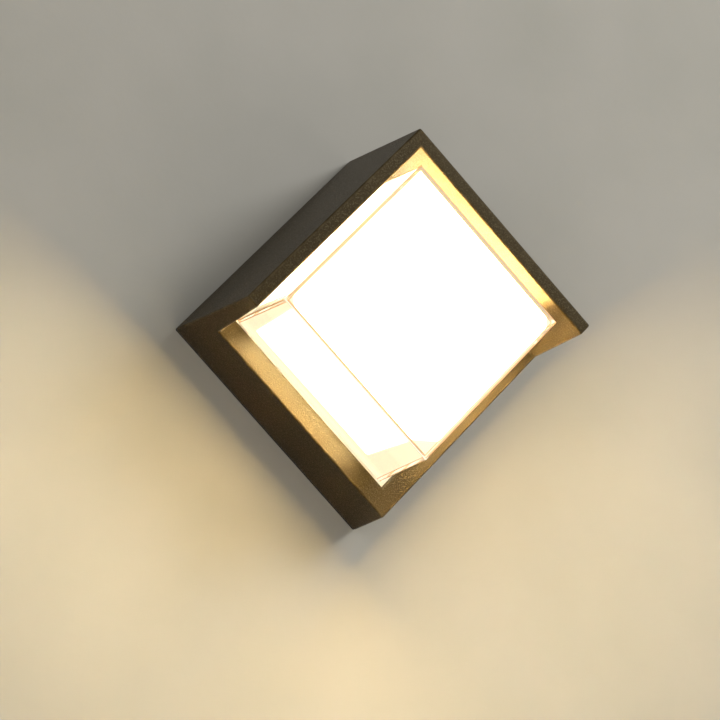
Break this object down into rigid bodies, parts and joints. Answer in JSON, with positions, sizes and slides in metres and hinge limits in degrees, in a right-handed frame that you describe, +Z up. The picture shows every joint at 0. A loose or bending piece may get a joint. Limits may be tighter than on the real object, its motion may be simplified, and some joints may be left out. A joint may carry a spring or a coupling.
{
  "type": "outdoor wall lantern",
  "caption": "Square outdoor wall lantern hung on its corner, with a two-sided hood, a clear box cover over a lit opal diffuser, an LED board, a driver and a wall plate.",
  "frame": {"origin": "middle of the wall plate's back, which is the middle of the lamp's square back, in the plane of the wall", "axes": "+Y into the wall, -Y out of the wall to the front of the lamp, +X to the right seen from the front, +Z up; the square hangs with a corner up"},
  "size_m": [0.2262, 0.1, 0.2262],
  "materials": {
    "powder_coat": "dark bronze-brown sand-texture powder coat on die-cast aluminium",
    "foam": "black closed-cell foam strip",
    "clear_acrylic": "clear acrylic, polished outside",
    "opal_acrylic": "opal acrylic, lit from inside",
    "silicone": "milky silicone seal",
    "aluminium": "mill-finish sheet",
    "zinc_screw": "zinc-plated screw",
    "white_board": "white solder mask on an aluminium core",
    "led_phosphor": "yellow phosphor",
    "cream_plastic": "cream nylon plug socket",
    "white_plastic": "white polycarbonate",
    "green_board": "green circuit board",
    "transformer_tape": "yellow tape on ferrite",
    "capacitor_sleeve": "black sleeve",
    "brass": "turned brass",
    "tinned_brass": "tinned brass",
    "green_screw": "green-coated earth screw",
    "rubber": "black rubber",
    "brown_wire": "brown silicone insulation",
    "blue_wire": "blue silicone insulation",
    "green_wire": "green and yellow silicone insulation",
    "red_wire": "red silicone insulation",
    "black_wire": "black silicone insulation",
    "stainless": "stainless socket set screw",
    "galvanised_steel": "zinc-coated pressed sheet steel"
  },
  "bodies": {
    "root": {"housing": "powder_coat", "wall_gasket": "foam", "clear_cover": "clear_acrylic", "inner_diffuser": "opal_acrylic", "cover_gasket": "silicone", "led_tray": "aluminium", "tray_screws": "zinc_screw", "led_board": "white_board", "led_chips": "led_phosphor", "board_screws": "zinc_screw", "board_connector": "cream_plastic", "driver_base": "white_plastic", "driver_lid": "white_plastic", "driver_pcb": "green_board", "driver_transformer": "transformer_tape", "driver_capacitors": "capacitor_sleeve", "driver_screws": "zinc_screw", "terminal_block": "white_plastic", "terminal_inserts": "brass", "terminal_screws": "zinc_screw", "terminal_fixing_screws": "zinc_screw", "earth_lug": "tinned_brass", "earth_screw": "green_screw", "wire_bush": "rubber", "wire_live": "brown_wire", "wire_neutral": "blue_wire", "wire_earth": "green_wire", "wire_led_positive": "red_wire", "wire_led_negative": "black_wire", "clamp_screws": "stainless", "wall_plate": "galvanised_steel", "cable_grommet": "rubber"}
  },
  "joints": []
}
